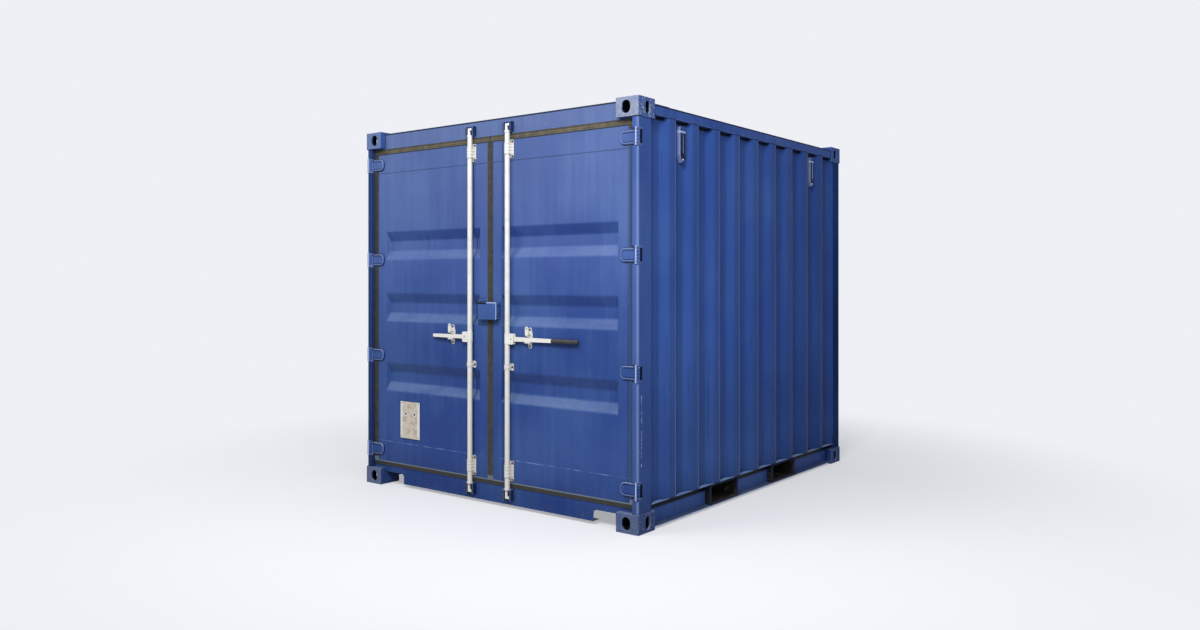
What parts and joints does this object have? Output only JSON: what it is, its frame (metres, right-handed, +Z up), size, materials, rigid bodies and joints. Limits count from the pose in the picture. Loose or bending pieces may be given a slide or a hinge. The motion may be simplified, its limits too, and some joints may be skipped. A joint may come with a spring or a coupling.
{
  "type": "shipping container",
  "caption": "Steel cargo container, ten foot class, with corrugated walls, corner castings, fork pockets and double doors with lock rods.",
  "frame": {"origin": "on the ground, under the middle of the container's box", "axes": "+Z up, +Y from the door end to the blind end, +X to the right as seen from outside the doors"},
  "size_m": [2.438, 2.991, 2.591],
  "materials": {
    "blue_paint": "satin blue coating on steel, scuffed and dusty",
    "galvanised_steel": "whitish zinc coating, slightly rust stained",
    "gasket_rubber": "matte, dirty rubber",
    "plywood": "worn marine plywood",
    "underframe_steel": "dark undercoating",
    "data_plate": "faded blank plate",
    "grip_plastic": "weathered dark sleeve"
  },
  "bodies": {
    "root": {"bottom_corner_castings": "blue_paint", "bottom_side_rail_left": "blue_paint", "bottom_side_rail_right": "blue_paint", "cam_keepers": "blue_paint", "cross_members": "underframe_steel", "door_header": "blue_paint", "door_post_left": "blue_paint", "door_post_right": "blue_paint", "door_sill": "blue_paint", "end_bottom_rail": "blue_paint", "end_post_left": "blue_paint", "end_post_right": "blue_paint", "end_top_rail": "blue_paint", "end_wall": "blue_paint", "floor_boards": "plywood", "fork_pockets": "underframe_steel", "header_end_plates": "blue_paint", "hinge_lugs": "blue_paint", "roof_corner_plates": "blue_paint", "roof_end_plates": "blue_paint", "roof_panel": "blue_paint", "side_wall_left": "blue_paint", "side_wall_right": "blue_paint", "top_casting_left_door": "blue_paint", "top_corner_castings": "blue_paint", "top_side_rail_left": "blue_paint", "top_side_rail_right": "blue_paint", "ventilators": "blue_paint"},
    "left_door": {"left_door_panel": "blue_paint", "left_door_frame": "blue_paint", "left_door_gasket": "gasket_rubber", "left_door_hinges": "blue_paint", "left_rod_brackets": "galvanised_steel", "left_handle_retainer": "galvanised_steel", "left_lock_box": "blue_paint", "data_plate": "data_plate"},
    "left_rod": {"left_lock_rod": "galvanised_steel"},
    "left_handle_lever": {"left_handle": "galvanised_steel"},
    "left_hasp_link": {"left_hasp": "galvanised_steel"},
    "right_door": {"right_door_panel": "blue_paint", "right_door_frame": "blue_paint", "right_door_gasket": "gasket_rubber", "right_door_hinges": "blue_paint", "right_rod_brackets": "galvanised_steel", "right_handle_retainer": "galvanised_steel", "right_lock_box": "blue_paint"},
    "right_rod": {"right_lock_rod": "galvanised_steel"},
    "right_handle_lever": {"right_handle": "galvanised_steel", "right_handle_grip": "grip_plastic"},
    "right_hasp_link": {"right_hasp": "galvanised_steel"}
  },
  "joints": [
    {"name": "left_door_hinge", "type": "hinge", "parent": "root", "child": "left_door", "pos_m": [-1.201, -1.4785, 0], "axis": [0, 0, -1], "range_deg": [0, 265]},
    {"name": "left_rod_turn", "type": "hinge", "parent": "left_door", "child": "left_rod", "pos_m": [-0.17, -1.4745, 0], "axis": [0, 0, -1], "range_deg": [-90, 0]},
    {"name": "left_handle_lift", "type": "hinge", "parent": "left_rod", "child": "left_handle_lever", "pos_m": [-0.212, -1.4745, 1.117], "axis": [0, -1, 0], "range_deg": [-5, 0]},
    {"name": "left_hasp_turn", "type": "hinge", "parent": "left_door", "child": "left_hasp_link", "pos_m": [-0.35, -1.4895, 1.153], "axis": [0, -1, 0], "range_deg": [0, 180]},
    {"name": "right_door_hinge", "type": "hinge", "parent": "root", "child": "right_door", "pos_m": [1.201, -1.4785, 0], "axis": [0, 0, 1], "range_deg": [0, 265]},
    {"name": "right_rod_turn", "type": "hinge", "parent": "right_door", "child": "right_rod", "pos_m": [0.17, -1.4745, 0], "axis": [0, 0, 1], "range_deg": [-90, 0]},
    {"name": "right_handle_lift", "type": "hinge", "parent": "right_rod", "child": "right_handle_lever", "pos_m": [0.212, -1.4745, 1.117], "axis": [0, 1, 0], "range_deg": [-5, 0]},
    {"name": "right_hasp_turn", "type": "hinge", "parent": "right_door", "child": "right_hasp_link", "pos_m": [0.35, -1.4895, 1.153], "axis": [0, 1, 0], "range_deg": [0, 180]}
  ]
}
